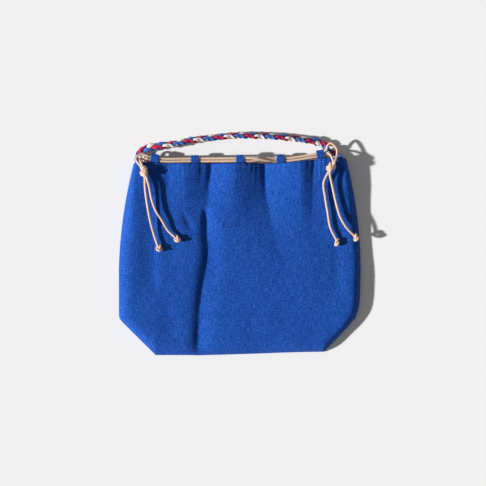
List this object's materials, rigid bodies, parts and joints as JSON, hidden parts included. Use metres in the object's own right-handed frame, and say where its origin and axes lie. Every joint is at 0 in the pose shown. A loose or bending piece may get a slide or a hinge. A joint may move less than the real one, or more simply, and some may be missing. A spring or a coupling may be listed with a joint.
{
  "type": "drawstring handbag",
  "caption": "Flat-lying linen drawstring handbag with a boxed base, belt-loop tabs, knotted cord drawstrings and a braided fabric handle.",
  "frame": {"origin": "middle of the flat back face that the bag lies on", "axes": "+X to the right across the front, +Y towards the mouth, +Z out of the front"},
  "size_m": [0.2994, 0.2771, 0.029],
  "materials": {
    "blue_linen": "matt slubby blue linen",
    "tan_cord": "waxed twisted cord",
    "white_strip": "folded cotton strip",
    "blue_strip": "folded cotton strip",
    "red_strip": "folded cotton strip"
  },
  "bodies": {
    "root": {"front_panel": "blue_linen", "back_panel": "blue_linen", "base_panel": "blue_linen", "front_tab_1": "blue_linen", "front_tab_2": "blue_linen", "front_tab_3": "blue_linen", "front_tab_4": "blue_linen", "front_tab_5": "blue_linen", "back_tab_1": "blue_linen", "back_tab_2": "blue_linen", "back_tab_3": "blue_linen", "back_tab_4": "blue_linen", "back_tab_5": "blue_linen", "drawstring_left": "tan_cord", "drawstring_right": "tan_cord", "left_tail_long": "tan_cord", "left_tail_short": "tan_cord", "right_tail_inner": "tan_cord", "right_tail_outer": "tan_cord", "left_joining_knot": "tan_cord", "right_joining_knot": "tan_cord", "left_end_knot_long": "tan_cord", "left_end_knot_short": "tan_cord", "right_end_knot_inner": "tan_cord", "right_end_knot_outer": "tan_cord", "handle_strand_white": "white_strip", "handle_strand_blue": "blue_strip", "handle_strand_red": "red_strip"}
  },
  "joints": []
}
